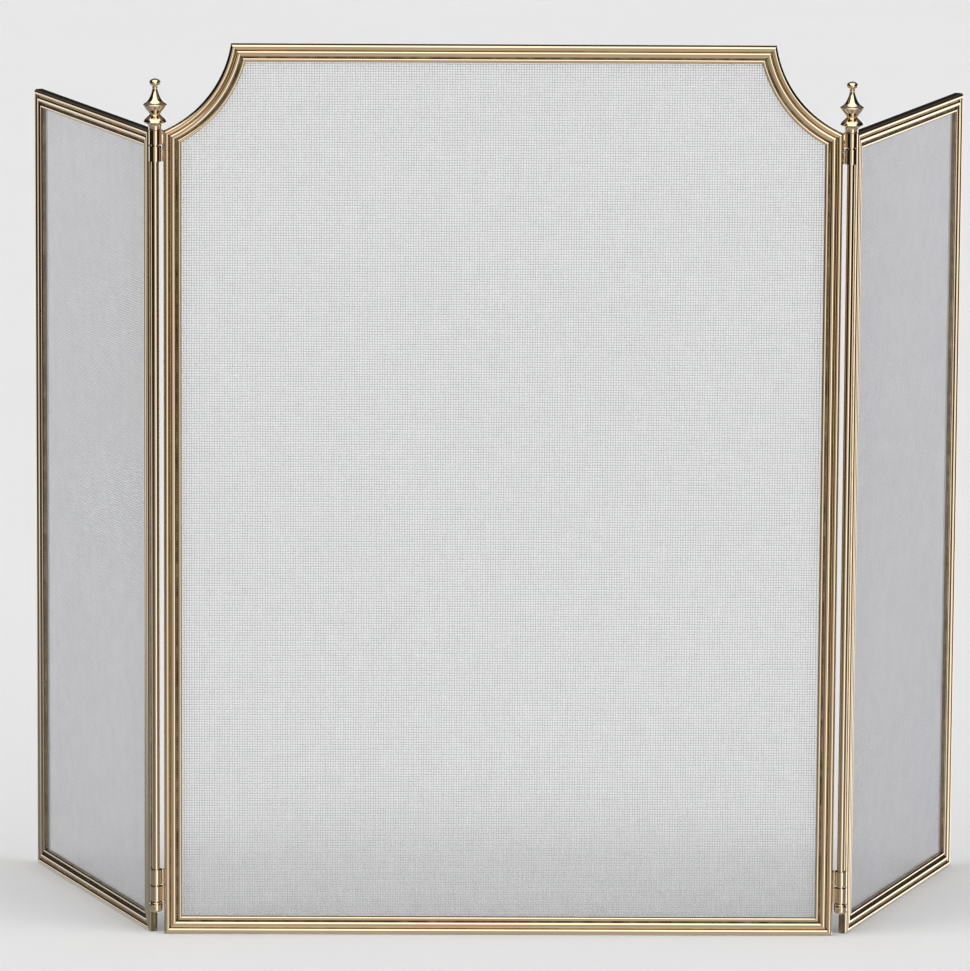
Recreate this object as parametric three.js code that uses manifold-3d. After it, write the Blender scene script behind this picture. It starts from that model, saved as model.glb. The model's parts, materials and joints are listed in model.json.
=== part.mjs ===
// Three-panel folding fireplace screen in reeded brass moulding with woven wire mesh.
// Millimetres, +Z up, +X to the viewer's right, the front faces -Y.
// The origin is the middle of the centre panel's underside, on the floor.
import * as THREE from "three";
import { mergeVertices } from "three/addons/utils/BufferGeometryUtils.js";
import Module from "manifold-3d";

const manifold = await Module();
manifold.setup();

// Panels
const CENTRE_WIDTH = 625;
const CENTRE_HEIGHT = 838;
const SHOULDER_HEIGHT = 757;
const TOP_RAIL_WIDTH = 501;
const SCOOP_RADIUS = 106;
const SIDE_WIDTH = 306;
const SIDE_HEIGHT = 757;
const FOLD_AT_REST = THREE.MathUtils.degToRad(67.5);

// Moulding: two broad flattened reeds and, past a groove, a narrow bead at the inner lip,
// each lower than the last. Distances run in from the outer edge, and y is the depth,
// front negative.
const MOULDING_WIDTH = 16.4;
const HALF_DEPTH = 4.2;
const REEDS = [
  { middle: 2.85, halfWidth: 2.85, top: -4.2, height: 2.4 },
  { middle: 8.65, halfWidth: 2.95, top: -3.5, height: 1.6 },
  { middle: 14.6, halfWidth: 1.8, top: -2.7, height: 1.0 },
];
const REED_STEPS = 6;
const GROOVE = { outer: 11.7, inner: 12.7, y: -0.7 };
const KEY_CHANNEL = { outer: 1.8, inner: 8.4, y: 1.0 };
const MESH_REBATE = { outer: 10.4, y: 1.6 };

// Pieces held in the back of the moulding
const CORNER_KEY = { outer: 2.2, inner: 8.0, front: 1.4, back: 3.8, reach: 30 };
const MESH_SHEET = { outer: 10.8, front: 1.9, back: 3.0 };
const RETAINER = { outer: 10.8, inner: 15.6, front: 3.3, back: 4.1 };
const MITRE_TRIM = 0.22;
const SCOOP_STEPS = 12;

// Hinges: a full-height rod stands in the gap between two stiles.
const AXIS_TO_STILE = 7.75;
const ROD_RADIUS = 3.75;
const BORE_RADIUS = 4.05;
const KNUCKLE_RADIUS = 5.8;
const LEAF = { inner: 6.45, outer: 7.45, front: -2.6, back: 3.2, webHalfDepth: 2 };
const ROUND_SEGMENTS = 20;
const UPPER_KNUCKLES = { high: [744.7, 757.8], low: [729.1, 743] };
const LOWER_KNUCKLES = { high: [47.6, 61.3], low: [31.7, 45.3] };
const LOWER_SIDE_LEAF_BOTTOM = 22;
const TENON = { radius: 2.8, bore: 3.1, bottom: 758, top: 767.5 };
const CAP = { radius: 6.15, bottom: 20.5, top: 29.9, floor: 24 };
const FINIAL_BOTTOM = 758.2;

const HINGE_X = CENTRE_WIDTH / 2 + AXIS_TO_STILE;

const brass = { color: 0xd8b56d, roughness: 0.16, metalness: 1 };
const wire = { color: 0x6f7073, roughness: 0.45, metalness: 0.8 };
const steel = { color: 0x8c8d8f, roughness: 0.4, metalness: 1 };

function piece(name, geometry, finish) {
  const mesh = new THREE.Mesh(geometry, new THREE.MeshStandardMaterial(finish));
  mesh.name = name;
  return mesh;
}

// ---- joining and cutting -------------------------------------------------

function toSolid(geometry) {
  const bare = geometry.clone();
  bare.deleteAttribute("normal");
  bare.deleteAttribute("uv");
  const merged = mergeVertices(bare);
  return new manifold.Manifold(new manifold.Mesh({
    numProp: 3,
    vertProperties: new Float32Array(merged.attributes.position.array),
    triVerts: new Uint32Array(merged.index.array),
  }));
}

function toGeometry(solid) {
  const { vertProperties, triVerts } = solid.getMesh();
  const geometry = new THREE.BufferGeometry();
  geometry.setAttribute("position", new THREE.BufferAttribute(vertProperties, 3));
  geometry.setIndex(new THREE.BufferAttribute(triVerts, 1));
  geometry.computeVertexNormals();
  return geometry;
}

// ---- outlines ------------------------------------------------------------
// A panel is a ring of edges, clockwise from the front. Each edge gives at(inset, t):
// the point (x, z) at a distance in from the outer edge and a share t of its length.

function straightEdge(start, end, trim = 0) {
  return {
    steps: 1,
    at(inset, t) {
      const a = start(inset);
      const b = end(inset);
      const length = a.distanceTo(b);
      return a.lerp(b, (trim + t * (length - 2 * trim)) / length);
    },
  };
}

// The circle lies outside the panel, so the inset grows its radius.
function scoopEdge(centre, start, end, trim = 0) {
  return {
    steps: SCOOP_STEPS,
    at(inset, t) {
      const radius = SCOOP_RADIUS + inset;
      const a = start(inset).sub(centre).angle();
      const b = end(inset).sub(centre).angle();
      const cut = Math.sign(b - a) * trim / radius;
      const angle = THREE.MathUtils.lerp(a + cut, b - cut, t);
      return new THREE.Vector2(Math.cos(angle), Math.sin(angle)).multiplyScalar(radius).add(centre);
    },
  };
}

function rectangleEdges(left, right, height, trim) {
  const corner = (x, inwardX, z, inwardZ) => (inset) =>
    new THREE.Vector2(x + inwardX * inset, z + inwardZ * inset);
  const topLeft = corner(left, 1, height, -1);
  const topRight = corner(right, -1, height, -1);
  const bottomRight = corner(right, -1, 0, 1);
  const bottomLeft = corner(left, 1, 0, 1);
  return {
    top_rail: straightEdge(topLeft, topRight, trim),
    right_stile: straightEdge(topRight, bottomRight, trim),
    bottom_rail: straightEdge(bottomRight, bottomLeft, trim),
    left_stile: straightEdge(bottomLeft, topLeft, trim),
  };
}

// Centre of the scoop's circle: as far from the end of the top rail as from the shoulder.
function scoopCentre() {
  const topEnd = new THREE.Vector2(TOP_RAIL_WIDTH / 2, CENTRE_HEIGHT);
  const shoulder = new THREE.Vector2(CENTRE_WIDTH / 2, SHOULDER_HEIGHT);
  const chord = shoulder.clone().sub(topEnd);
  const outward = new THREE.Vector2(-chord.y, chord.x).normalize();
  const distance = Math.sqrt(SCOOP_RADIUS ** 2 - chord.lengthSq() / 4);
  return topEnd.add(shoulder).multiplyScalar(0.5).addScaledVector(outward, distance);
}

function centreEdges(trim) {
  const half = CENTRE_WIDTH / 2;
  const rightCentre = scoopCentre();
  const leftCentre = new THREE.Vector2(-rightCentre.x, rightCentre.y);
  // Where the inset top rail and the inset stile meet the inset circle.
  const topRight = (inset) => {
    const z = CENTRE_HEIGHT - inset;
    const reach = Math.sqrt((SCOOP_RADIUS + inset) ** 2 - (rightCentre.y - z) ** 2);
    return new THREE.Vector2(rightCentre.x - reach, z);
  };
  const rightShoulder = (inset) => {
    const x = half - inset;
    const reach = Math.sqrt((SCOOP_RADIUS + inset) ** 2 - (rightCentre.x - x) ** 2);
    return new THREE.Vector2(x, rightCentre.y - reach);
  };
  const mirrored = (corner) => (inset) => {
    const point = corner(inset);
    return new THREE.Vector2(-point.x, point.y);
  };
  const bottomRight = (inset) => new THREE.Vector2(half - inset, inset);
  const topLeft = mirrored(topRight);
  const leftShoulder = mirrored(rightShoulder);
  const bottomLeft = mirrored(bottomRight);
  return {
    top_rail: straightEdge(topLeft, topRight, trim),
    right_scoop: scoopEdge(rightCentre, topRight, rightShoulder, trim),
    right_stile: straightEdge(rightShoulder, bottomRight, trim),
    bottom_rail: straightEdge(bottomRight, bottomLeft, trim),
    left_stile: straightEdge(bottomLeft, leftShoulder, trim),
    left_scoop: scoopEdge(leftCentre, leftShoulder, topLeft, trim),
  };
}

// ---- pieces that follow the outline --------------------------------------

// A reed's depth below its top grows with the cube of the distance from its middle.
function reedProfile({ middle, halfWidth, top, height }) {
  const points = [];
  for (let i = 0; i <= REED_STEPS; i += 1) {
    const across = Math.sin(Math.PI * (i / REED_STEPS - 0.5));
    points.push([middle + halfWidth * across, top + height * Math.abs(across) ** 3]);
  }
  return points;
}

function mouldingSection() {
  const [outerReed, innerReed, bead] = REEDS.map(reedProfile);
  return [
    ...outerReed,
    ...innerReed,
    [GROOVE.outer, GROOVE.y],
    [GROOVE.inner, GROOVE.y],
    ...bead,
    [MOULDING_WIDTH, MESH_REBATE.y],
    [MESH_REBATE.outer, MESH_REBATE.y],
    [MESH_REBATE.outer, HALF_DEPTH],
    [KEY_CHANNEL.inner, HALF_DEPTH],
    [KEY_CHANNEL.inner, KEY_CHANNEL.y],
    [KEY_CHANNEL.outer, KEY_CHANNEL.y],
    [KEY_CHANNEL.outer, HALF_DEPTH],
    [0, HALF_DEPTH],
  ];
}

function retainerSection() {
  return [
    [RETAINER.outer, RETAINER.front],
    [RETAINER.inner, RETAINER.front],
    [RETAINER.inner, RETAINER.back],
    [RETAINER.outer, RETAINER.back],
  ];
}

// A bar with the given section (in, y), laid along an edge and mitred at both ends.
function mitredBar(section, edge) {
  const shape = new THREE.Shape(section.map(([inset, y]) => new THREE.Vector2(inset, y)));
  const bar = new THREE.ExtrudeGeometry(shape, { depth: 1, steps: edge.steps, bevelEnabled: false });
  const positions = bar.attributes.position;
  for (let i = 0; i < positions.count; i += 1) {
    const point = edge.at(positions.getX(i), positions.getZ(i));
    positions.setXYZ(i, point.x, positions.getY(i), point.y);
  }
  bar.computeVertexNormals();
  return bar;
}

// A flat plate whose outline lies in the panel's plane, between two depths.
function plate(outline, front, back) {
  const shape = new THREE.Shape(outline);
  const geometry = new THREE.ExtrudeGeometry(shape, { depth: back - front, bevelEnabled: false });
  geometry.rotateX(Math.PI / 2);
  geometry.translate(0, back, 0);
  return geometry;
}

function meshSheet(edges) {
  const outline = [];
  for (const edge of Object.values(edges)) {
    for (let i = 0; i < edge.steps; i += 1) {
      outline.push(edge.at(MESH_SHEET.outer, i / edge.steps));
    }
  }
  return plate(outline, MESH_SHEET.front, MESH_SHEET.back);
}

// The last stretch of one edge and the first of the next, at one distance in.
function aroundCorner(before, after, inset) {
  const stretch = (edge, t) => edge.at(inset, t);
  const share = (edge) => {
    const middle = (CORNER_KEY.outer + CORNER_KEY.inner) / 2;
    const chord = edge.at(middle, 0).distanceTo(edge.at(middle, 1));
    return CORNER_KEY.reach / chord;
  };
  const points = [];
  const legSteps = (edge) => (edge.steps > 1 ? 4 : 1);
  for (let i = legSteps(before); i > 0; i -= 1) {
    points.push(stretch(before, 1 - share(before) * i / legSteps(before)));
  }
  points.push(stretch(after, 0));
  for (let i = 1; i <= legSteps(after); i += 1) {
    points.push(stretch(after, share(after) * i / legSteps(after)));
  }
  return points;
}

function cornerKey(before, after) {
  const outer = aroundCorner(before, after, CORNER_KEY.outer);
  const inner = aroundCorner(before, after, CORNER_KEY.inner).reverse();
  return plate([...outer, ...inner], CORNER_KEY.front, CORNER_KEY.back);
}

// Every mitred bar, the mesh and the corner keys of one panel.
function panel(prefix, makeEdges, names) {
  const group = new THREE.Group();
  const exact = makeEdges(0);
  const trimmed = makeEdges(MITRE_TRIM);
  const order = Object.keys(exact);
  order.forEach((key, i) => {
    const name = names[key] ?? key;
    const next = order[(i + 1) % order.length];
    const nextName = names[next] ?? next;
    group.add(
      piece(`${prefix}_${name}`, mitredBar(mouldingSection(), trimmed[key]), brass),
      piece(`${prefix}_${name}_retainer`, mitredBar(retainerSection(), trimmed[key]), steel),
      piece(`${prefix}_key_${name}_to_${nextName}`, cornerKey(exact[key], exact[next]), steel),
    );
  });
  group.add(piece(`${prefix}_mesh`, meshSheet(exact), wire));
  return group;
}

// ---- hinges --------------------------------------------------------------

function turned(profile) {
  const points = profile.map(([radius, z]) => new THREE.Vector2(radius, z));
  return new THREE.LatheGeometry(points, ROUND_SEGMENTS).rotateX(Math.PI / 2);
}

function box(x0, x1, y0, y1, z0, z1) {
  return new THREE.BoxGeometry(x1 - x0, y1 - y0, z1 - z0)
    .translate((x0 + x1) / 2, (y0 + y1) / 2, (z0 + z1) / 2);
}

function cylinder(radius, z0, z1) {
  return new THREE.CylinderGeometry(radius, radius, z1 - z0, ROUND_SEGMENTS)
    .rotateX(Math.PI / 2)
    .translate(0, 0, (z0 + z1) / 2);
}

// A plate on the stile's edge, a web and one knuckle, bored for the rod.
// The axis is at the origin, and side is 1 when the stile lies towards +X.
function leaf(side, plateSpan, knuckle) {
  const across = (near, far) => (side > 0 ? [near, far] : [-far, -near]);
  const backing = box(...across(LEAF.inner, LEAF.outer), LEAF.front, LEAF.back, ...plateSpan);
  const web = box(...across(2, LEAF.inner + 0.5), -LEAF.webHalfDepth, LEAF.webHalfDepth, ...knuckle);
  const barrel = cylinder(KNUCKLE_RADIUS, ...knuckle);
  const bore = cylinder(BORE_RADIUS, knuckle[0] - 1, knuckle[1] + 1);
  return toGeometry(toSolid(backing).add(toSolid(web)).add(toSolid(barrel)).subtract(toSolid(bore)));
}

function hingeRod() {
  return turned([
    [0, TENON.top],
    [TENON.radius, TENON.top],
    [TENON.radius, TENON.bottom - 0.2],
    [ROD_RADIUS, TENON.bottom - 0.2],
    [ROD_RADIUS, CAP.floor + 0.4],
    [0, CAP.floor + 0.4],
  ].reverse());
}

function capNut() {
  const round = [];
  for (let i = 0; i <= 4; i += 1) {
    const angle = (Math.PI / 2) * (i / 4);
    round.push([CAP.radius - 3 + 3 * Math.sin(angle), CAP.bottom + 3 - 3 * Math.cos(angle)]);
  }
  return turned([
    [0, CAP.bottom],
    ...round,
    [CAP.radius, CAP.top - 0.5],
    [CAP.radius - 0.5, CAP.top],
    [BORE_RADIUS, CAP.top],
    [BORE_RADIUS, CAP.floor],
    [0, CAP.floor],
  ]);
}

// Turned finial: a ball on a swept cone, two sharp rims and a base the size of a knuckle.
function finial() {
  const ball = { z: 802, radius: 5.1, halfHeight: 3.6 };
  const ballPoints = [];
  for (let i = 1; i <= 6; i += 1) {
    const angle = THREE.MathUtils.degToRad(-62 + 152 * (i / 6));
    ballPoints.push([
      Math.max(0, ball.radius * Math.cos(angle)),
      ball.z + ball.halfHeight * Math.sin(angle),
    ]);
  }
  ballPoints[ballPoints.length - 1][0] = 0;
  return turned([
    [0, TENON.top + 0.4],
    [TENON.bore, TENON.top + 0.4],
    [TENON.bore, FINIAL_BOTTOM],
    [6.1, FINIAL_BOTTOM],
    [6.1, 761.6],
    [7, 763.6],
    [10.5, 765.3],
    [10.5, 766.2],
    [7.9, 769.4],
    [4.9, 772.4],
    [6.3, 774.8],
    [8.6, 777.6],
    [10.9, 780.9],
    [10.9, 782],
    [7.8, 784],
    [5.6, 786.6],
    [3.7, 790.4],
    [2.3, 795.2],
    [2.3, 797.4],
    ...ballPoints,
  ]);
}

// The rod with its finial and cap nut, and the two centre leaves.
function fixedHinge(name, side) {
  const group = new THREE.Group();
  const upperSpan = [UPPER_KNUCKLES.low[0], UPPER_KNUCKLES.high[1]];
  const lowerSpan = [LOWER_KNUCKLES.low[0], LOWER_KNUCKLES.high[1]];
  group.add(
    piece(`${name}_hinge_rod`, hingeRod(), brass),
    piece(`${name}_finial`, finial(), brass),
    piece(`${name}_cap_nut`, capNut(), brass),
    piece(`${name}_upper_leaf_centre`, leaf(-side, upperSpan, UPPER_KNUCKLES.high), brass),
    piece(`${name}_lower_leaf_centre`, leaf(-side, lowerSpan, LOWER_KNUCKLES.low), brass),
  );
  group.position.x = side * HINGE_X;
  return group;
}

// A side panel with its two leaves, turned back about the rod.
function sidePanel(name, side) {
  const group = new THREE.Group();
  const near = AXIS_TO_STILE;
  const far = AXIS_TO_STILE + SIDE_WIDTH;
  const [left, right] = side > 0 ? [near, far] : [-far, -near];
  const names = side > 0
    ? { left_stile: "hinge_stile", right_stile: "outer_stile" }
    : { left_stile: "outer_stile", right_stile: "hinge_stile" };
  const upperSpan = [UPPER_KNUCKLES.low[0], UPPER_KNUCKLES.high[1]];
  const lowerSpan = [LOWER_SIDE_LEAF_BOTTOM, LOWER_KNUCKLES.high[1]];
  group.add(
    panel(name, (trim) => rectangleEdges(left, right, SIDE_HEIGHT, trim), names),
    piece(`${name}_upper_leaf_side`, leaf(side, upperSpan, UPPER_KNUCKLES.low), brass),
    piece(`${name}_lower_leaf_side`, leaf(side, lowerSpan, LOWER_KNUCKLES.high), brass),
  );
  group.position.x = side * HINGE_X;
  group.rotation.z = side * FOLD_AT_REST;
  return group;
}

const screen = new THREE.Group();
screen.add(
  panel("centre", centreEdges, {}),
  fixedHinge("left", -1),
  fixedHinge("right", 1),
  sidePanel("left", -1),
  sidePanel("right", 1),
);

export default screen;
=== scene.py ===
# Three-panel folding fireplace screen: the fine surfaces, materials, light and camera.
# Metres, +Z up, the front faces -Y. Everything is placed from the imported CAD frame.
import json
import math

import bmesh
import bpy
from mathutils import Matrix, Vector


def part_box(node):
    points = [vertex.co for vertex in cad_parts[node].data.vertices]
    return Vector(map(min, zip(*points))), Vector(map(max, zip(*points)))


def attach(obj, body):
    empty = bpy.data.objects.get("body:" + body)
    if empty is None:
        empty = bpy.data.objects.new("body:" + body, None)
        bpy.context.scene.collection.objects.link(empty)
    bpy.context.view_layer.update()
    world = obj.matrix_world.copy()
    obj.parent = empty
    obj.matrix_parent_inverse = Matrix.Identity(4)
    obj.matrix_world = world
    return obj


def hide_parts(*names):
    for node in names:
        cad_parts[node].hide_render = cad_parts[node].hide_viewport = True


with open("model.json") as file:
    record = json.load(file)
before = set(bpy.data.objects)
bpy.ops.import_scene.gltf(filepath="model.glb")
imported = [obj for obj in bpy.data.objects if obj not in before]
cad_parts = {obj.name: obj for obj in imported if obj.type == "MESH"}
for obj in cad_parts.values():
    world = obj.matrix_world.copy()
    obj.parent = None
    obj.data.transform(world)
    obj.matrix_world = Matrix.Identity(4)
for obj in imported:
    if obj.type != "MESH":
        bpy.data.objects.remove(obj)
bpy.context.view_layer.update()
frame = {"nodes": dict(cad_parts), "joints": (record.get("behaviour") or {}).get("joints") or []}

MM = 0.001

# ---- sizes -----------------------------------------------------------------
# The moulding's section. Distances run in from the outer edge; depth is y, front negative.
MOULDING_WIDTH = 16.4 * MM
HALF_DEPTH = 4.2 * MM
REEDS = [
    dict(middle=2.85 * MM, half_width=2.85 * MM, top=-4.2 * MM, height=2.4 * MM),
    dict(middle=8.65 * MM, half_width=2.95 * MM, top=-3.5 * MM, height=1.6 * MM),
    dict(middle=14.6 * MM, half_width=1.8 * MM, top=-2.7 * MM, height=1.0 * MM),
]
REED_STEPS = 18
# The reeds' edges are darkened in the colour: partly tarnished brass, partly painted shade.
REED_EDGE_TARNISH_AND_SHADE = 0.85
GROOVE = dict(outer=11.7 * MM, inner=12.7 * MM, y=-0.7 * MM)
KEY_CHANNEL = dict(outer=1.8 * MM, inner=8.4 * MM, y=1.0 * MM)
MESH_REBATE = dict(outer=10.4 * MM, y=1.6 * MM)
MESH_INSET = 10.8 * MM
RETAINER_MIDDLE = 13.2 * MM
RETAINER_BACK = 4.1 * MM
MITRE_GAP = 0.05 * MM
CAD_MITRE_GAP = 0.22 * MM
STRAIGHT_RINGS = 12
SCOOP_RADIUS = 106 * MM
SCOOP_RINGS = 56
SIDE_WIDTH = 306 * MM
# Edges sharper than these angles stay sharp, in degrees.
MOULDING_SHARP = 20
TURNED_SHARP = 32
WIRE_SHARP = 70

# Woven wire
WIRE = 0.55 * MM
PITCH = 2.35 * MM
WIRE_FRONT = 1.9 * MM

# Hinges
ROD_RADIUS = 3.75 * MM
BORE_RADIUS = 4.05 * MM
KNUCKLE_RADIUS = 5.8 * MM
LEAF = dict(inner=6.45 * MM, outer=7.45 * MM, front=-2.6 * MM, back=3.2 * MM, web_half=2 * MM)
LEAF_BEVEL = 0.12 * MM
UPPER_KNUCKLES = dict(high=(744.7 * MM, 757.8 * MM), low=(729.1 * MM, 743 * MM))
LOWER_KNUCKLES = dict(high=(47.6 * MM, 61.3 * MM), low=(31.7 * MM, 45.3 * MM))
LOWER_SIDE_LEAF_BOTTOM = 22 * MM
TENON = dict(radius=2.8 * MM, bottom=757.8 * MM, top=767.5 * MM)
FINIAL = dict(bottom=758.2 * MM, bore=3.1 * MM, bore_top=767.9 * MM)
BALL = dict(radius=5.1 * MM, half_height=3.6 * MM, z=802 * MM, start=-62, steps=16)
CAP = dict(radius=6.15 * MM, bottom=20.5 * MM, top=29.9 * MM, floor=24 * MM)
ROUND_STEPS = 64

# ---- places read from the frame ---------------------------------------------
_, centre_mesh_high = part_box("centre_mesh")
_, side_mesh_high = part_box("right_mesh")
HALF_WIDTH = centre_mesh_high.x + MESH_INSET
HEIGHT = centre_mesh_high.z + MESH_INSET
SHOULDER = side_mesh_high.z + MESH_INSET
TOP_RAIL_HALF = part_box("centre_top_rail")[1].x + CAD_MITRE_GAP
JOINTS = {joint["name"]: joint for joint in frame["joints"]}
HINGE_X = JOINTS["right_fold"]["pos_m"][0]
FOLD_AT_REST = math.radians(-JOINTS["right_fold"]["range_deg"][0])
AXIS_TO_STILE = HINGE_X - HALF_WIDTH
SIDES = {"left": -1, "right": 1}


def hinge_matrix(side):
    return Matrix.Translation((side * HINGE_X, 0, 0))


def wing_matrix(side):
    return hinge_matrix(side) @ Matrix.Rotation(side * FOLD_AT_REST, 4, "Z")


# ---- small mesh helpers -----------------------------------------------------
def new_object(name, data, matrix=None):
    """A new object at the origin; a matrix moves the mesh itself, as the CAD nodes' places do."""
    if matrix is not None:
        data.transform(matrix)
    piece = bpy.data.objects.new(name, data)
    bpy.context.scene.collection.objects.link(piece)
    return piece


def smooth_by_angle(mesh, degrees):
    """Shades smooth, with the edges sharper than the angle kept sharp."""
    limit = math.radians(degrees)
    bm = bmesh.new()
    bm.from_mesh(mesh)
    for face in bm.faces:
        face.smooth = True
    for edge in bm.edges:
        edge.smooth = len(edge.link_faces) == 2 and edge.calc_face_angle(0) < limit
    bm.to_mesh(mesh)
    bm.free()


def face_outwards(mesh):
    bm = bmesh.new()
    bm.from_mesh(mesh)
    bmesh.ops.recalc_face_normals(bm, faces=bm.faces)
    bm.to_mesh(mesh)
    bm.free()


def add_float(mesh, name, values):
    layer = mesh.attributes.new(name, "FLOAT", "POINT")
    layer.data.foreach_set("value", values)


def finish_piece(piece, body, slot, material, *nodes):
    piece.data.materials.clear()
    piece.data.materials.append(material)
    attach(piece, body)
    if nodes:
        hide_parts(*nodes)
    return piece


# ---- shader helpers ---------------------------------------------------------
class Tree:
    """A node tree that is written as a chain of calls."""

    def __init__(self, tree):
        self.tree = tree
        tree.nodes.clear()

    def node(self, kind, inputs=None, **settings):
        node = self.tree.nodes.new(kind)
        for key, value in settings.items():
            setattr(node, key, value)
        for key, value in (inputs or {}).items():
            self.put(node.inputs[key], value)
        return node

    def put(self, socket, value):
        if isinstance(value, bpy.types.NodeSocket):
            self.tree.links.new(value, socket)
        else:
            socket.default_value = value

    def math(self, operation, *values):
        node = self.node("ShaderNodeMath", operation=operation)
        for socket, value in zip(node.inputs, values):
            self.put(socket, value)
        return node.outputs[0]

    def remap(self, value, low, high, to_low=0.0, to_high=1.0, smooth=True):
        node = self.node(
            "ShaderNodeMapRange",
            {
                "Value": value,
                "From Min": low,
                "From Max": high,
                "To Min": to_low,
                "To Max": to_high,
            },
            interpolation_type="SMOOTHSTEP" if smooth else "LINEAR",
        )
        return node.outputs[0]

    def noise(self, vector, scale, detail=3.0, roughness=0.5):
        node = self.node(
            "ShaderNodeTexNoise",
            {"Vector": vector, "Scale": scale, "Detail": detail, "Roughness": roughness},
        )
        return node.outputs[0]

    def mix(self, factor, first, second, blend="MIX"):
        node = self.node("ShaderNodeMix", data_type="RGBA", blend_type=blend)
        self.put(node.inputs[0], factor)
        self.put(node.inputs[6], first)
        self.put(node.inputs[7], second)
        return node.outputs[2]

    def attribute(self, name):
        return self.node("ShaderNodeAttribute", attribute_name=name).outputs["Fac"]

    def bump(self, height, distance, strength=1.0, normal=None):
        inputs = {"Height": height, "Distance": distance, "Strength": strength}
        if normal is not None:
            inputs["Normal"] = normal
        return self.node("ShaderNodeBump", inputs).outputs[0]


def new_material(name):
    material = bpy.data.materials.new(name)
    material.use_nodes = True
    tree = Tree(material.node_tree)
    shader = tree.node("ShaderNodeBsdfPrincipled")
    output = tree.node("ShaderNodeOutputMaterial")
    tree.put(output.inputs["Surface"], shader.outputs[0])
    place = tree.node("ShaderNodeTexCoord").outputs["Object"]
    return material, tree, shader, place


# ---- materials --------------------------------------------------------------
# Noise scales are features to the metre, and DRAWN_LINES is lines to the millimetre across.
BRASS = (0.92, 0.72, 0.48, 1)
BRASS_RED = (0.90, 0.65, 0.44, 1)
BRASS_GREEN = (0.88, 0.74, 0.44, 1)
BRASS_EVENNESS = 0.62
# Near-black colour in the grooves and channels: partly tarnished brass, partly painted shade.
TARNISH_AND_SHADE = (0.055, 0.036, 0.016, 1)
BRASS_CLOUDS = 22.0
BRASS_PATCHES = 75.0
BRASS_GRAIN = 1400.0
DRAWN_LINES = 2.6
POLISHED_ROUGHNESS = 0.05
SMUDGE_ROUGHNESS = 0.05
GROOVE_ROUGHNESS = 0.2
LINE_ROUGHNESS = 0.05
DENT_DEPTH = 1.0 * MM
SCRATCH_DEPTH = 0.01 * MM

# Lit and shaded tones of the wire: a painted highlight on the over-crossings, painted shade at the
# dips.
WIRE_PAINTED_HIGHLIGHT = (0.62, 0.62, 0.64, 1), (0.70, 0.70, 0.72, 1)
WIRE_PAINTED_SHADE = (0.53, 0.53, 0.545, 1), (0.58, 0.58, 0.595, 1)
WIRE_MOTTLE = 60.0
WIRE_ROUGHNESS = 0.36, 0.50
WIRE_WAVE = 0.12 * MM

ZINC = (0.50, 0.51, 0.50, 1), (0.63, 0.63, 0.61, 1)
ZINC_RUBBED = (0.42, 0.40, 0.36, 1)
ZINC_SPANGLE = 260.0
ZINC_RUBBING = 45.0
ZINC_ROUGHNESS = 0.30, 0.48
ZINC_RELIEF = 0.05 * MM


def brass_material(name, drawn_lines):
    """Polished, lacquered brass. The grooves, the reeds' edges and the moulding's back are darkened
    in the colour, partly tarnished brass and partly painted shade, and drawn moulding has lines
    along it.
    """
    material, tree, shader, place = new_material(name)
    clouds = tree.noise(place, BRASS_CLOUDS, 3.0)
    patches = tree.noise(place, BRASS_PATCHES, 4.0)
    grain = tree.noise(place, BRASS_GRAIN, 2.0)
    colour = tree.mix(tree.remap(clouds, 0.38, 0.66), BRASS_RED, BRASS_GREEN)
    colour = tree.mix(BRASS_EVENNESS, colour, BRASS)
    # Painted shade with tarnished brass: the colour darkens to near black by the groove value, in
    # patches.
    groove = tree.attribute("groove")
    tarnish_and_shade = tree.math("MULTIPLY", groove, tree.remap(patches, 0.2, 0.75, 0.55, 1.0))
    colour = tree.mix(tarnish_and_shade, colour, TARNISH_AND_SHADE)
    smudge = tree.remap(patches, 0.45, 0.75, 0.0, SMUDGE_ROUGHNESS)
    roughness = tree.math("ADD", POLISHED_ROUGHNESS, smudge)
    roughness = tree.math("ADD", roughness, tree.math("MULTIPLY", groove, GROOVE_ROUGHNESS))
    normal = tree.bump(clouds, DENT_DEPTH, 0.10)
    normal = tree.bump(grain, SCRATCH_DEPTH, 0.10, normal)
    if drawn_lines:
        across = tree.node("ShaderNodeCombineXYZ", {"X": tree.attribute("inset_mm")}).outputs[0]
        lines = tree.noise(across, DRAWN_LINES, 3.0, 0.65)
        normal = tree.bump(lines, SCRATCH_DEPTH, 0.12, normal)
        roughness = tree.math("ADD", roughness, tree.remap(lines, 0.5, 0.8, 0.0, LINE_ROUGHNESS))
    tree.put(shader.inputs["Base Color"], colour)
    tree.put(shader.inputs["Roughness"], roughness)
    tree.put(shader.inputs["Normal"], normal)
    shader.inputs["Metallic"].default_value = 1.0
    shader.inputs["Coat Weight"].default_value = 0.12
    shader.inputs["Coat Roughness"].default_value = 0.06
    return material


def wire_material():
    """Satin steel wire. The straight wires have a painted highlight where a wire would pass over
    another and painted shade where it would dip.
    """
    material, tree, shader, place = new_material("woven_wire")
    # Painted light and shade along each wire: over is the share of painted highlight, light is the
    # lit tone, and the other tone is the shaded one.
    along = tree.math("MULTIPLY", tree.attribute("crossings"), math.pi)
    wave = tree.math("COSINE", along)
    over = tree.remap(wave, -1.0, 1.0)
    mottle = tree.noise(place, WIRE_MOTTLE, 3.0)
    light = tree.mix(tree.remap(mottle, 0.3, 0.7), *WIRE_PAINTED_HIGHLIGHT)
    painted_shade_tone = tree.mix(mottle, *WIRE_PAINTED_SHADE)
    tree.put(shader.inputs["Base Color"], tree.mix(over, painted_shade_tone, light))
    tree.put(shader.inputs["Roughness"], tree.remap(mottle, 0.3, 0.7, *WIRE_ROUGHNESS))
    tree.put(shader.inputs["Normal"], tree.bump(wave, WIRE_WAVE, 0.35))
    shader.inputs["Metallic"].default_value = 0.2
    return material


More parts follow.
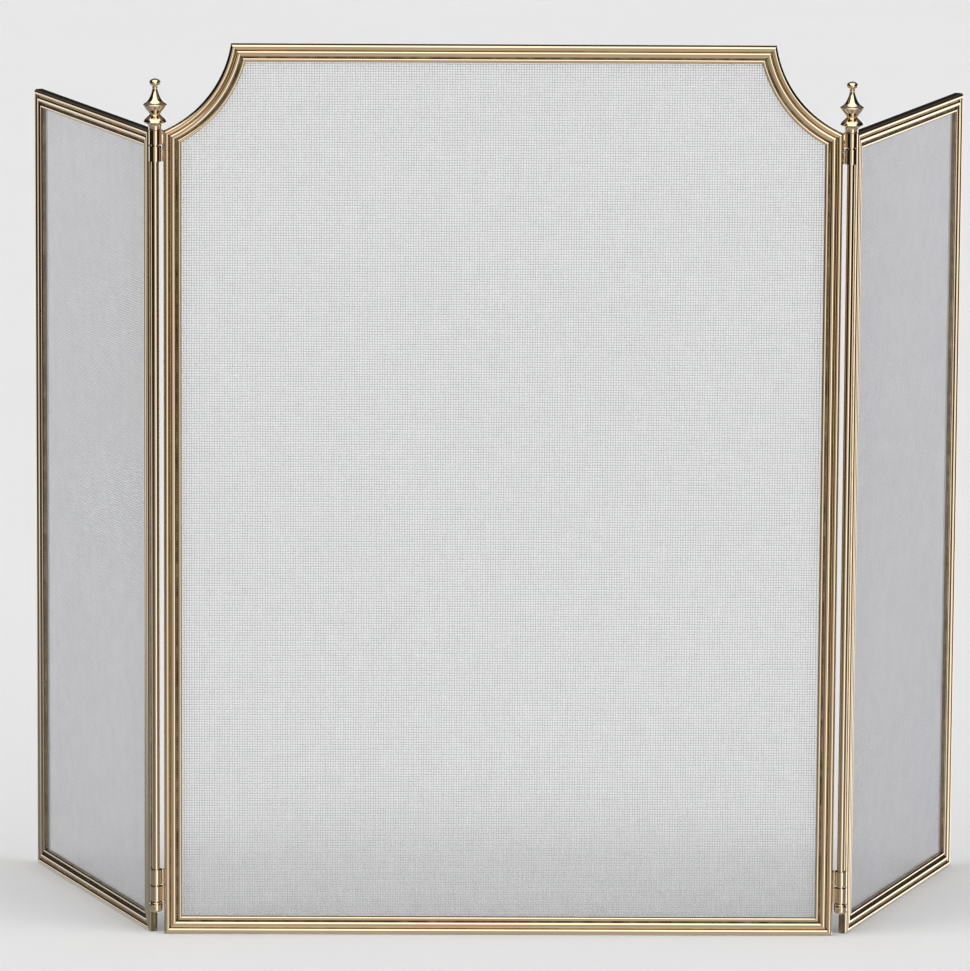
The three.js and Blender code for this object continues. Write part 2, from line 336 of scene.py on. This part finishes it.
def steel_material():
    """Zinc-plated steel, with the plating's faint spangle and rubbed patches."""
    material, tree, shader, place = new_material("plated_steel")
    cells = tree.node(
        "ShaderNodeTexVoronoi", {"Vector": place, "Scale": ZINC_SPANGLE}, feature="F1"
    ).outputs["Color"]
    spangle = tree.node("ShaderNodeRGBToBW", {"Color": cells}).outputs[0]
    rubbed = tree.noise(place, ZINC_RUBBING, 5.0)
    colour = tree.mix(spangle, *ZINC)
    colour = tree.mix(tree.remap(rubbed, 0.55, 0.8, 0.0, 0.6), colour, ZINC_RUBBED)
    tree.put(shader.inputs["Base Color"], colour)
    tree.put(shader.inputs["Roughness"], tree.remap(rubbed, 0.3, 0.7, *ZINC_ROUGHNESS))
    tree.put(shader.inputs["Normal"], tree.bump(spangle, ZINC_RELIEF, 0.15))
    shader.inputs["Metallic"].default_value = 1.0
    return material


drawn_brass = brass_material("drawn_brass", True)
turned_brass = brass_material("turned_brass", False)
woven_wire = wire_material()
plated_steel = steel_material()


# ---- mouldings --------------------------------------------------------------
def reed_profile(middle, half_width, top, height):
    """(inset, y, groove) across one reed; its depth grows with the cube of the distance, and its
    groove value, a darkening that is partly tarnished brass and partly painted shade, is strongest
    at its edges.
    """
    points = []
    for i in range(REED_STEPS + 1):
        across = 2 * i / REED_STEPS - 1
        y = top + height * abs(across) ** 3
        points.append((middle + half_width * across, y, REED_EDGE_TARNISH_AND_SHADE * abs(across) ** 7))
    return points


def moulding_section():
    """(inset, y, groove) round the moulding; groove is how far the colour is darkened, 0 to 1:
    partly tarnished brass, partly painted shade in the grooves and channels.
    """
    outer_reed, inner_reed, bead = [reed_profile(**reed) for reed in REEDS]
    floor = [(GROOVE["outer"], GROOVE["y"], 1.0), (GROOVE["inner"], GROOVE["y"], 1.0)]
    back = [
        (MOULDING_WIDTH, MESH_REBATE["y"], 0.5),
        (MESH_REBATE["outer"], MESH_REBATE["y"], 0.5),
        (MESH_REBATE["outer"], HALF_DEPTH, 0.15),
        (KEY_CHANNEL["inner"], HALF_DEPTH, 0.15),
        (KEY_CHANNEL["inner"], KEY_CHANNEL["y"], 0.5),
        (KEY_CHANNEL["outer"], KEY_CHANNEL["y"], 0.5),
        (KEY_CHANNEL["outer"], HALF_DEPTH, 0.15),
        (0.0, HALF_DEPTH, 0.15),
    ]
    return outer_reed + inner_reed + floor + bead + back


def straight_edge(start, end):
    """at(inset, t) gives the point (x, z) at a share t of the edge at that distance in."""

    def at(inset, t):
        a, b = Vector(start(inset)), Vector(end(inset))
        share = MITRE_GAP / (b - a).length
        return a.lerp(b, share + t * (1 - 2 * share))

    return at, STRAIGHT_RINGS


def scoop_edge(centre, start, end):
    def at(inset, t):
        radius = SCOOP_RADIUS + inset
        a, b = Vector(start(inset)) - centre, Vector(end(inset)) - centre
        first, last = math.atan2(a.y, a.x), math.atan2(b.y, b.x)
        turn = (last - first + math.pi) % (2 * math.pi) - math.pi
        cut = math.copysign(MITRE_GAP / radius, turn)
        angle = first + cut + t * (turn - 2 * cut)
        return centre + radius * Vector((math.cos(angle), math.sin(angle)))

    return at, SCOOP_RINGS


def scoop_centre():
    top_end, shoulder = Vector((TOP_RAIL_HALF, HEIGHT)), Vector((HALF_WIDTH, SHOULDER))
    chord = shoulder - top_end
    outward = Vector((-chord.y, chord.x)).normalized()
    distance = math.sqrt(SCOOP_RADIUS**2 - chord.length_squared / 4)
    return (top_end + shoulder) / 2 + outward * distance


SCOOP_CENTRE = scoop_centre()


def top_rail_end(inset):
    z = HEIGHT - inset
    reach = math.sqrt((SCOOP_RADIUS + inset) ** 2 - (SCOOP_CENTRE.y - z) ** 2)
    return SCOOP_CENTRE.x - reach, z


def shoulder_corner(inset):
    x = HALF_WIDTH - inset
    reach = math.sqrt((SCOOP_RADIUS + inset) ** 2 - (SCOOP_CENTRE.x - x) ** 2)
    return x, SCOOP_CENTRE.y - reach


def mirrored(corner):
    return lambda inset: (-corner(inset)[0], corner(inset)[1])


def centre_edges():
    bottom_right = lambda inset: (HALF_WIDTH - inset, inset)
    top_left, left_shoulder = mirrored(top_rail_end), mirrored(shoulder_corner)
    bottom_left = mirrored(bottom_right)
    left_centre = Vector((-SCOOP_CENTRE.x, SCOOP_CENTRE.y))
    return {
        "top_rail": straight_edge(top_left, top_rail_end),
        "right_scoop": scoop_edge(SCOOP_CENTRE, top_rail_end, shoulder_corner),
        "right_stile": straight_edge(shoulder_corner, bottom_right),
        "bottom_rail": straight_edge(bottom_right, bottom_left),
        "left_stile": straight_edge(bottom_left, left_shoulder),
        "left_scoop": scoop_edge(left_centre, left_shoulder, top_left),
    }


def wing_limits(side, inset):
    """The wing's left and right limits from its hinge's axis, with an inset."""
    near, far = AXIS_TO_STILE + inset, AXIS_TO_STILE + SIDE_WIDTH - inset
    return (near, far) if side > 0 else (-far, -near)


def wing_edges(side):
    left, right = wing_limits(side, 0)
    top_left = lambda inset: (left + inset, SHOULDER - inset)
    top_right = lambda inset: (right - inset, SHOULDER - inset)
    bottom_right = lambda inset: (right - inset, inset)
    bottom_left = lambda inset: (left + inset, inset)
    left_name, right_name = "hinge_stile", "outer_stile"
    if side < 0:
        left_name, right_name = right_name, left_name
    return {
        "top_rail": straight_edge(top_left, top_right),
        right_name: straight_edge(top_right, bottom_right),
        "bottom_rail": straight_edge(bottom_right, bottom_left),
        left_name: straight_edge(bottom_left, top_left),
    }


def moulding_mesh(name, edge):
    at, rings = edge
    section = moulding_section()
    count = len(section)
    vertices, groove, inset_mm = [], [], []
    for ring in range(rings + 1):
        for inset, y, depth in section:
            x, z = at(inset, ring / rings)
            vertices.append((x, y, z))
            groove.append(depth)
            inset_mm.append(inset / MM)
    faces = []
    for ring in range(rings):
        low, high = ring * count, (ring + 1) * count
        for i in range(count):
            j = (i + 1) % count
            faces.append((low + i, low + j, high + j, high + i))
    faces.append(tuple(range(count)))
    faces.append(tuple(reversed(range(rings * count, (rings + 1) * count))))
    mesh = bpy.data.meshes.new(name)
    mesh.from_pydata(vertices, [], faces)
    face_outwards(mesh)
    smooth_by_angle(mesh, MOULDING_SHARP)
    add_float(mesh, "groove", groove)
    add_float(mesh, "inset_mm", inset_mm)
    return mesh


def add_mouldings(prefix, body, edges, matrix):
    for key, edge in edges.items():
        node = f"{prefix}_{key}"
        piece = new_object(f"{node}_moulding", moulding_mesh(node, edge), matrix)
        finish_piece(piece, body, "polished_brass", drawn_brass, node)


add_mouldings("centre", "centre_panel", centre_edges(), Matrix.Identity(4))
for wing, side in SIDES.items():
    add_mouldings(wing, f"{wing}_panel", wing_edges(side), wing_matrix(side))


# ---- woven wire -------------------------------------------------------------
def wire_places(low, high):
    """Middles of the wires across a span, a whole pitch apart and centred on it."""
    count = int((high - low - WIRE) / PITCH)
    first = (low + high - count * PITCH) / 2
    return [first + i * PITCH for i in range(count + 1)]


def centre_top(x):
    """Height of the mesh's outline at x."""
    if abs(x) <= top_rail_end(MESH_INSET)[0]:
        return HEIGHT - MESH_INSET
    reach = (SCOOP_RADIUS + MESH_INSET) ** 2 - (SCOOP_CENTRE.x - abs(x)) ** 2
    return SCOOP_CENTRE.y - math.sqrt(reach)


def centre_half_width(z):
    """Half the width of the mesh's outline at height z."""
    if z <= shoulder_corner(MESH_INSET)[1]:
        return HALF_WIDTH - MESH_INSET
    reach = (SCOOP_RADIUS + MESH_INSET) ** 2 - (SCOOP_CENTRE.y - z) ** 2
    return SCOOP_CENTRE.x - math.sqrt(reach)


def wire_mesh(name, upright, level):
    """Hexagonal wires: upright is [(x, low, high)], level is [(z, low, high)]."""
    vertices, faces, crossings = [], [], []
    ring = [(math.cos(k * math.pi / 3), math.sin(k * math.pi / 3)) for k in range(6)]
    layers = [(upright, WIRE_FRONT + WIRE / 2, True), (level, WIRE_FRONT + WIRE * 1.5, False)]
    for wires, y, stands in layers:
        for index, (place, low, high) in enumerate(wires):
            base = len(vertices)
            for end in (low, high):
                for across, deep in ring:
                    side, depth = place + across * WIRE / 2, y + deep * WIRE / 2
                    vertices.append((side, depth, end) if stands else (end, depth, side))
                    crossings.append(end / PITCH + index % 2)
            for k in range(6):
                n = (k + 1) % 6
                faces.append((base + k, base + n, base + 6 + n, base + 6 + k))
            faces.append(tuple(base + k for k in range(6)))
            faces.append(tuple(base + 6 + k for k in reversed(range(6))))
    mesh = bpy.data.meshes.new(name)
    mesh.from_pydata(vertices, [], faces)
    face_outwards(mesh)
    smooth_by_angle(mesh, WIRE_SHARP)
    add_float(mesh, "crossings", crossings)
    return mesh


def add_wires(prefix, body, upright, level, matrix):
    mesh = wire_mesh(f"{prefix}_wires", upright, level)
    piece = new_object(f"{prefix}_woven_wire", mesh, matrix)
    finish_piece(piece, body, "mesh_wire", woven_wire, f"{prefix}_mesh")


def add_centre_wires():
    reach = HALF_WIDTH - MESH_INSET
    upright = [(x, MESH_INSET, centre_top(x)) for x in wire_places(-reach, reach)]
    level = []
    for z in wire_places(MESH_INSET, HEIGHT - MESH_INSET):
        half = centre_half_width(z)
        level.append((z, -half, half))
    add_wires("centre", "centre_panel", upright, level, Matrix.Identity(4))


def add_wing_wires(wing, side):
    left, right = wing_limits(side, MESH_INSET)
    low, high = MESH_INSET, SHOULDER - MESH_INSET
    upright = [(x, low, high) for x in wire_places(left, right)]
    level = [(z, left, right) for z in wire_places(low, high)]
    add_wires(wing, f"{wing}_panel", upright, level, wing_matrix(side))


add_centre_wires()
for wing, side in SIDES.items():
    add_wing_wires(wing, side)


# ---- turned pieces ----------------------------------------------------------
def smooth_run(points, steps=5):
    """A smooth curve through points (radius, z), the first left to the run before it."""
    padded = [points[0]] + list(points) + [points[-1]]
    run = []
    for a, b, c, d in zip(padded, padded[1:], padded[2:], padded[3:]):
        for i in range(1, steps + 1):
            t = i / steps
            run.append(tuple(
                0.5 * (2 * q + (r - p) * t + (2 * p - 5 * q + 4 * r - s) * t**2
                       + (3 * q - p - 3 * r + s) * t**3)
                for p, q, r, s in zip(a, b, c, d)
            ))
    return run


def turned_mesh(name, profile):
    """Turns a closed profile of (radius, z) that starts and ends on the axis."""
    bm = bmesh.new()
    rings = []
    for radius, z in profile:
        if radius < 1e-7:
            rings.append([bm.verts.new((0, 0, z))])
            continue
        ring = []
        for k in range(ROUND_STEPS):
            angle = 2 * math.pi * k / ROUND_STEPS
            ring.append(bm.verts.new((radius * math.cos(angle), radius * math.sin(angle), z)))
        rings.append(ring)
    for low, high in zip(rings, rings[1:]):
        for k in range(ROUND_STEPS):
            n = (k + 1) % ROUND_STEPS
            if len(low) == 1:
                bm.faces.new((low[0], high[n], high[k]))
            elif len(high) == 1:
                bm.faces.new((low[k], low[n], high[0]))
            else:
                bm.faces.new((low[k], low[n], high[n], high[k]))
    bmesh.ops.recalc_face_normals(bm, faces=bm.faces)
    mesh = bpy.data.meshes.new(name)
    bm.to_mesh(mesh)
    bm.free()
    smooth_by_angle(mesh, TURNED_SHARP)
    return mesh


def rounded(radius, z, size, start, end, steps=4):
    """Points of a small quarter round about (radius, z)."""
    points = []
    for i in range(steps + 1):
        angle = math.radians(start + (end - start) * i / steps)
        points.append((radius + size * math.cos(angle), z + size * math.sin(angle)))
    return points


def rod_profile():
    chamfer = 0.4 * MM
    bottom = CAP["floor"] + 0.4 * MM
    return [
        (0, bottom),
        (ROD_RADIUS - chamfer, bottom),
        (ROD_RADIUS, bottom + chamfer),
        (ROD_RADIUS, TENON["bottom"]),
        (TENON["radius"], TENON["bottom"]),
        (TENON["radius"], TENON["top"]),
        (0, TENON["top"]),
    ]


def cap_profile():
    radius, bottom, top, floor = CAP["radius"], CAP["bottom"], CAP["top"], CAP["floor"]
    bowl, lip, nick = 3 * MM, 0.5 * MM, 0.35 * MM
    nick_z = top - 2.4 * MM
    return (
        [(0, bottom)]
        + rounded(radius - bowl, bottom + bowl, bowl, -90, 0, 10)
        + [(radius, nick_z - nick), (radius - nick, nick_z), (radius, nick_z + nick)]
        + rounded(radius - lip, top - lip, lip, 0, 90)
        + [(BORE_RADIUS, top), (BORE_RADIUS, floor), (0, floor)]
    )


def finial_profile():
    """The bore for the rod's tenon, the neck, two flared collars, the cone and the ball."""
    mm = lambda *points: [(radius * MM, z * MM) for radius, z in points]
    profile = [
        (0, FINIAL["bore_top"]),
        (FINIAL["bore"], FINIAL["bore_top"]),
        (FINIAL["bore"], FINIAL["bottom"]),
    ]
    profile += mm((5.8, 758.2), (6.1, 758.5), (6.1, 761.6))
    profile += smooth_run(mm((6.1, 761.6), (6.5, 762.9), (7.6, 764.1), (10.2, 765.3)))
    profile += rounded(10.05 * MM, 765.75 * MM, 0.45 * MM, -60, 60)
    profile += smooth_run(mm((10.3, 766.2), (9.3, 767.9), (7.5, 769.7), (5.7, 771.4), (4.9, 772.4)))
    profile += smooth_run(mm((4.9, 772.4), (5.3, 773.4), (6.5, 775.1), (8.6, 777.6), (10.5, 780.6)))
    profile += rounded(10.4 * MM, 781.45 * MM, 0.5 * MM, -60, 60)
    cone = mm((10.6, 782), (8.1, 783.6), (6.0, 786.0), (4.2, 789.6), (2.9, 793.2), (2.3, 796.2))
    profile += smooth_run(cone)
    profile += mm((2.6, 797.0), (2.6, 797.6), (2.2, 798.2))
    for i in range(1, BALL["steps"]):
        angle = math.radians(BALL["start"] + (90 - BALL["start"]) * i / BALL["steps"])
        z = BALL["z"] + BALL["half_height"] * math.sin(angle)
        profile.append((BALL["radius"] * math.cos(angle), z))
    profile.append((0, BALL["z"] + BALL["half_height"]))
    return profile


def add_turned_pieces(name, side):
    for part, profile in (
        ("hinge_rod", rod_profile()),
        ("finial", finial_profile()),
        ("cap_nut", cap_profile()),
    ):
        node = f"{name}_{part}"
        piece = new_object(f"{node}_turned", turned_mesh(node, profile), hinge_matrix(side))
        finish_piece(piece, "centre_panel", "polished_brass", turned_brass, node)


for name, side in SIDES.items():
    add_turned_pieces(name, side)


# ---- hinge leaves and their screws -------------------------------------------
SCREW = dict(
    head=2.1 * MM, neck=1.0 * MM, sunk=0.95 * MM, length=1.2 * MM, proud=0.2 * MM,
    slot=0.5 * MM, slot_depth=0.45 * MM,
)
SCREW_HOLE = dict(clearance=0.1 * MM, above=0.6 * MM, depth=2 * MM)
SCREW_SEAT = 0.3 * MM
SCREW_SHARES = 0.24, 0.76
BEVEL_ANGLE = 50


def block(x, y, z):
    """A closed box between pairs of limits, as a scratch object for a boolean."""
    mesh = bpy.data.meshes.new("block")
    bm = bmesh.new()
    corners = [bm.verts.new((a, b, c)) for a in sorted(x) for b in y for c in z]
    bmesh.ops.convex_hull(bm, input=corners)
    bmesh.ops.recalc_face_normals(bm, faces=bm.faces)
    bm.to_mesh(mesh)
    bm.free()
    return new_object("block", mesh)


def barrel(radius, low, high):
    profile = [(0, low), (radius, low), (radius, high), (0, high)]
    return new_object("barrel", turned_mesh("barrel", profile))


def combine(start, steps, bevel):
    """Joins and cuts scratch objects in turn, bevels the result and returns its mesh."""
    for operation, other in steps:
        modifier = start.modifiers.new(operation, "BOOLEAN")
        modifier.operation = operation
        modifier.solver = "EXACT"
        modifier.object = other
    if bevel:
        modifier = start.modifiers.new("bevel", "BEVEL")
        modifier.width = bevel
        modifier.segments = 2
        modifier.limit_method = "ANGLE"
        modifier.angle_limit = math.radians(BEVEL_ANGLE)
    bpy.context.view_layer.update()
    graph = bpy.context.evaluated_depsgraph_get()
    mesh = bpy.data.meshes.new_from_object(start.evaluated_get(graph))
    for other in [start] + [other for _, other in steps]:
        bpy.data.objects.remove(other)
    smooth_by_angle(mesh, TURNED_SHARP)
    return mesh


def screw_matrix(side, z):
    """The screw's axis points from the leaf's plate towards the hinge's axis."""
    turn = Matrix.Rotation(-side * math.pi / 2, 4, "Y")
    return Matrix.Translation((side * LEAF["inner"], SCREW_SEAT, z)) @ turn


def countersink(side, z):
    """A scratch object with the screw's outline and some clearance, to cut its hole."""
    head = SCREW["head"] + SCREW_HOLE["clearance"]
    neck = SCREW["neck"] + SCREW_HOLE["clearance"]
    above, depth = SCREW_HOLE["above"], SCREW_HOLE["depth"]
    profile = [
        (0, above), (head, above), (head, 0), (neck, -SCREW["sunk"]), (neck, -depth), (0, -depth),
    ]
    cutter = new_object("countersink", turned_mesh("countersink", profile))
    cutter.matrix_world = screw_matrix(side, z)
    return cutter


def screw_mesh():
    """A slotted countersunk screw with a slightly domed head. Its axis is z, and its seat z = 0."""
    head, neck, proud, length = SCREW["head"], SCREW["neck"], SCREW["proud"], SCREW["length"]
    profile = [
        (0, -length), (neck, -length), (neck, -SCREW["sunk"]), (head, -0.05 * MM),
        (head, 0.03 * MM), (0.7 * head, 0.75 * proud), (0.35 * head, 0.95 * proud), (0, proud),
    ]
    body = new_object("screw", turned_mesh("screw", profile))
    half = SCREW["slot"] / 2
    slot = block((-half, half), (-2 * head, 2 * head), (-SCREW["slot_depth"], 2 * proud))
    return combine(body, [("DIFFERENCE", slot)], 0)


def leaf_mesh(side, plate, knuckle, screws):
    """The plate, the web and one bored knuckle. The axis is at the origin."""
    across = lambda near, far: (side * near, side * far)
    start = block(across(LEAF["inner"], LEAF["outer"]), (LEAF["front"], LEAF["back"]), plate)
    web_reach = across(2 * MM, LEAF["inner"] + 0.5 * MM)
    web = block(web_reach, (-LEAF["web_half"], LEAF["web_half"]), knuckle)
    steps = [
        ("UNION", web),
        ("UNION", barrel(KNUCKLE_RADIUS, *knuckle)),
        ("DIFFERENCE", barrel(BORE_RADIUS, knuckle[0] - MM, knuckle[1] + MM)),
    ]
    steps += [("DIFFERENCE", countersink(side, z)) for z in screws]
    return combine(start, steps, LEAF_BEVEL)


def two_screws(span):
    """Heights of two screws, about a quarter of the span in from each end."""
    return [span[0] + (span[1] - span[0]) * share for share in SCREW_SHARES]


def add_leaf(node, side, body, matrix, plate, knuckle, free):
    """One leaf and its two screws, at heights where the leaf has no knuckle of its own."""
    heights = two_screws(free)
    leaf = new_object(f"{node}_plate", leaf_mesh(side, plate, knuckle, heights), matrix)
    finish_piece(leaf, body, "polished_brass", turned_brass, node)
    for number, z in enumerate(heights, 1):
        # Each slot has stopped at an angle of its own.
        turn = Matrix.Rotation(math.radians(35 + 70 * number + 25 * side), 4, "Z")
        place = matrix @ screw_matrix(side, z) @ turn
        screw = new_object(f"{node}_screw_{number}", screw_shape.copy(), place)
        finish_piece(screw, body, "polished_brass", turned_brass)


def add_leaves(name, side):
    """The centre's leaves have the outer knuckles of the two hinges, and the wing's the inner."""
    fixed = (-side, "centre_panel", hinge_matrix(side))
    turning = (side, f"{name}_panel", wing_matrix(side))
    upper_high, upper_low = UPPER_KNUCKLES["high"], UPPER_KNUCKLES["low"]
    lower_high, lower_low = LOWER_KNUCKLES["high"], LOWER_KNUCKLES["low"]
    upper_span, lower_span = (upper_low[0], upper_high[1]), (lower_low[0], lower_high[1])
    long_span = (LOWER_SIDE_LEAF_BOTTOM, lower_high[1])
    add_leaf(f"{name}_upper_leaf_centre", *fixed, upper_span, upper_high, upper_low)
    add_leaf(f"{name}_lower_leaf_centre", *fixed, lower_span, lower_low, lower_high)
    add_leaf(f"{name}_upper_leaf_side", *turning, upper_span, upper_low, upper_high)
    add_leaf(f"{name}_lower_leaf_side", *turning, long_span, lower_high, lower_low)


screw_shape = screw_mesh()
for name, side in SIDES.items():
    add_leaves(name, side)


# ---- small screws of the retainer strips --------------------------------------
STRIP_SCREW = dict(radius=1.75 * MM, height=0.75 * MM, slot=0.42 * MM)
STRIP_SCREW_SPACING = 105 * MM
STRIP_SCREW_TURN = 2.4  # radians from one screw's slot to the next one's


def strip_screw_mesh():
    radius, height = STRIP_SCREW["radius"], STRIP_SCREW["height"]
    seat = 0.02 * MM
    profile = [(0, seat), (radius * 0.97, seat)]
    for angle in (math.radians(8 + 82 * i / 6) for i in range(6)):
        profile.append((radius * math.cos(angle), height * math.sin(angle)))
    profile.append((0, height))
    head = new_object("strip_screw", turned_mesh("strip_screw", profile))
    half = STRIP_SCREW["slot"] / 2
    slot = block((-half, half), (-2 * radius, 2 * radius), (0.45 * height, 2 * height))
    return combine(head, [("DIFFERENCE", slot)], 0)


def add_strip_screws(prefix, body, edges, matrix):
    """One piece with all of a panel's small screws, spread along its retainer strips."""
    bm = bmesh.new()
    number = 0
    for at, _ in edges.values():
        length = (at(RETAINER_MIDDLE, 1) - at(RETAINER_MIDDLE, 0)).length
        count = max(2, round(length / STRIP_SCREW_SPACING))
        for i in range(count):
            x, z = at(RETAINER_MIDDLE, (i + 0.5) / count)
            number += 1
            place = Matrix.Translation((x, RETAINER_BACK, z))
            place = place @ Matrix.Rotation(-math.pi / 2, 4, "X")
            place = place @ Matrix.Rotation(number * STRIP_SCREW_TURN, 4, "Z")
            shape = strip_screw_shape.copy()
            shape.transform(place)
            bm.from_mesh(shape)
    mesh = bpy.data.meshes.new(f"{prefix}_strip_screws")
    bm.to_mesh(mesh)
    bm.free()
    piece = new_object(f"{prefix}_strip_screws", mesh, matrix)
    finish_piece(piece, body, "plated_steel", plated_steel)


strip_screw_shape = strip_screw_mesh()
add_strip_screws("centre", "centre_panel", centre_edges(), Matrix.Identity(4))
for wing, side in SIDES.items():
    add_strip_screws(wing, f"{wing}_panel", wing_edges(side), wing_matrix(side))

# The CAD's own retainer strips and corner keys stay, in the plated steel.
for node_name, node in frame["nodes"].items():
    if node_name.endswith("_retainer") or "_key_" in node_name:
        node.data.materials.clear()
        node.data.materials.append(plated_steel)


# ---- floor, light and camera ---------------------------------------------------
FLOOR_REACH = 30.0
FLOOR_DROP = 0.2 * MM
FLOOR_CLOUDS = 1.5
FLOOR_SHADES = (0.83, 0.83, 0.83, 1), (0.86, 0.86, 0.86, 1)


def add_floor():
    """A pale floor that the brass doesn't reflect: what it sees instead is in light_world."""
    mesh = bpy.data.meshes.new("floor")
    reach = FLOOR_REACH
    corners = [(-reach, -reach, 0), (reach, -reach, 0), (reach, reach, 0), (-reach, reach, 0)]
    mesh.from_pydata(corners, [], [(0, 1, 2, 3)])
    floor = new_object("floor", mesh)
    floor.location.z = -FLOOR_DROP
    material, tree, shader, place = new_material("pale_floor")
    tree.put(
        shader.inputs["Base Color"], tree.mix(tree.noise(place, FLOOR_CLOUDS, 2.0), *FLOOR_SHADES)
    )
    shader.inputs["Roughness"].default_value = 0.9
    mesh.materials.append(material)
    floor.visible_glossy = False


# What the brass reflects. Azimuth runs from the front towards +X, and elevation up from level, in
# degrees; wide and high are half sizes, and each edge fades over soft.
SOFT_BOXES = {
    "front": dict(azimuth=-3, elevation=-20, wide=17, high=42, soft=6, strength=0.42),
    "front_right": dict(azimuth=22, elevation=-8, wide=10, high=28, soft=5, strength=1.3),
    "back_left": dict(azimuth=-138, elevation=-7.5, wide=18, high=3, soft=3.5, strength=1.0),
    "back_right": dict(azimuth=138, elevation=-9.5, wide=21, high=4, soft=5, strength=1.35),
    "floor_front": dict(azimuth=0, elevation=-70, wide=60, high=24, soft=14, strength=0.20),
    "floor_back_left": dict(azimuth=-168, elevation=-46, wide=14, high=29, soft=6, strength=0.65),
    "floor_back_right": dict(azimuth=168, elevation=-46, wide=14, high=29, soft=6, strength=0.65),
}
# The cool grey of the floor at the sides.
SIDE_FLOOR = {
    "left": dict(azimuth=-97, elevation=-46, wide=68, high=31, soft=6, strength=0.26),
    "right": dict(azimuth=97, elevation=-46, wide=68, high=31, soft=6, strength=0.26),
}
SLATE = (0.86, 0.98, 1.13, 1)
# A long box overhead: it comes in between two elevations, in degrees, fades out between two
# distances to the side, and weakens to a low share from the front to the back.
OVERHEAD = dict(
    low=14, high=30, strength=1.7, side=0.48, side_end=0.72, front=-0.05, back=0.4, behind=0.08,
)
BASE_LIGHT = 0.015
BACKDROP_LIGHT = 0.79
# Fill lights for the floor and the wire. They are left out of the brass's reflections.
FILL_LIGHTS = {
    "fill_above": dict(azimuth=180, elevation=74, strength=1.45, spread=100),
    "fill_left": dict(azimuth=-66, elevation=14, strength=2.9, spread=60),
    "fill_right": dict(azimuth=66, elevation=14, strength=2.9, spread=60),
}


def box_mask(tree, azimuth, elevation, box):
    """1 inside a soft box and 0 outside it, with soft edges."""
    parts = []
    for value, middle, half in (
        (azimuth, box["azimuth"], box["wide"]),
        (elevation, box["elevation"], box["high"]),
    ):
        away = tree.math("ABSOLUTE", tree.math("SUBTRACT", value, math.radians(middle)))
        inner, outer = math.radians(half), math.radians(half + box["soft"])
        parts.append(tree.remap(away, inner, outer, 1.0, 0.0))
    return tree.math("MULTIPLY", *parts)


def add_boxes(tree, azimuth, elevation, boxes, strength):
    """The strength with that of each soft box added to it."""
    for box in boxes.values():
        mask = box_mask(tree, azimuth, elevation, box)
        strength = tree.math("ADD", strength, tree.math("MULTIPLY", mask, box["strength"]))
    return strength


def light_world():
    """The boxes light only what reflects them; the floor and the wire have the fill lights."""
    world = bpy.data.worlds.new("studio")
    world.use_nodes = True
    bpy.context.scene.world = world
    world.cycles_visibility.diffuse = False
    tree = Tree(world.node_tree)
    direction = tree.node("ShaderNodeTexCoord").outputs["Generated"]
    parts = tree.node("ShaderNodeSeparateXYZ", {"Vector": direction})
    x, y, z = parts.outputs
    elevation = tree.math("ARCSINE", z)
    azimuth = tree.math("ARCTAN2", x, tree.math("MULTIPLY", y, -1.0))
    low, high = math.radians(OVERHEAD["low"]), math.radians(OVERHEAD["high"])
    overhead = tree.remap(elevation, low, high, 0.0, OVERHEAD["strength"])
    in_front = tree.remap(y, OVERHEAD["front"], OVERHEAD["back"], 1.0, OVERHEAD["behind"])
    aside = tree.math("ABSOLUTE", x)
    in_strip = tree.remap(aside, OVERHEAD["side"], OVERHEAD["side_end"], 1.0, 0.0)
    overhead = tree.math("MULTIPLY", tree.math("MULTIPLY", overhead, in_front), in_strip)
    strength = tree.math("ADD", overhead, BASE_LIGHT)
    strength = add_boxes(tree, azimuth, elevation, SOFT_BOXES, strength)
    side_floor = add_boxes(tree, azimuth, elevation, SIDE_FLOOR, 0.0)
    # Low views look past the floor's far edge, so the camera itself sees a pale backdrop there.
    seen = tree.node("ShaderNodeLightPath").outputs["Is Camera Ray"]
    strength = tree.remap(seen, 0.0, 1.0, strength, BACKDROP_LIGHT, smooth=False)
    side_floor = tree.remap(seen, 0.0, 1.0, side_floor, 0.0, smooth=False)
    white = tree.node("ShaderNodeBackground", {"Color": (1, 1, 1, 1), "Strength": strength})
    slate = tree.node("ShaderNodeBackground", {"Color": SLATE, "Strength": side_floor})
    both = tree.node("ShaderNodeAddShader", {0: white.outputs[0], 1: slate.outputs[0]})
    output = tree.node("ShaderNodeOutputWorld")
    tree.put(output.inputs["Surface"], both.outputs[0])


def add_fill_lights():
    for name, fill in FILL_LIGHTS.items():
        light = bpy.data.lights.new(name, "SUN")
        light.energy = fill["strength"]
        light.angle = math.radians(fill["spread"])
        lamp = new_object(name, light)
        lamp.visible_glossy = False
        tilt = Matrix.Rotation(math.radians(90 - fill["elevation"]), 4, "X")
        lamp.matrix_world = Matrix.Rotation(math.radians(fill["azimuth"]), 4, "Z") @ tilt


# About 7 m away, slightly to the left, looking down 10 degrees. The angles are in radians.
CAMERA = dict(place=(-0.110, -7.195, 1.752), pan=-0.0132, down=0.1821, roll=0.0062, lens=292.7)
SENSOR_WIDTH = 36
CLIP_END = 100


def add_camera():
    data = bpy.data.cameras.new("camera")
    data.sensor_width = SENSOR_WIDTH
    data.lens = CAMERA["lens"]
    data.clip_end = CLIP_END
    camera = new_object("camera", data)
    pan = Matrix.Rotation(CAMERA["pan"], 4, "Z")
    tilt = Matrix.Rotation(math.pi / 2 - CAMERA["down"], 4, "X")
    roll = Matrix.Rotation(CAMERA["roll"], 4, "Z")
    camera.matrix_world = Matrix.Translation(CAMERA["place"]) @ (pan @ tilt @ roll)
    bpy.context.scene.camera = camera


add_floor()
light_world()
add_fill_lights()
add_camera()
bpy.context.scene.view_settings.view_transform = "Standard"
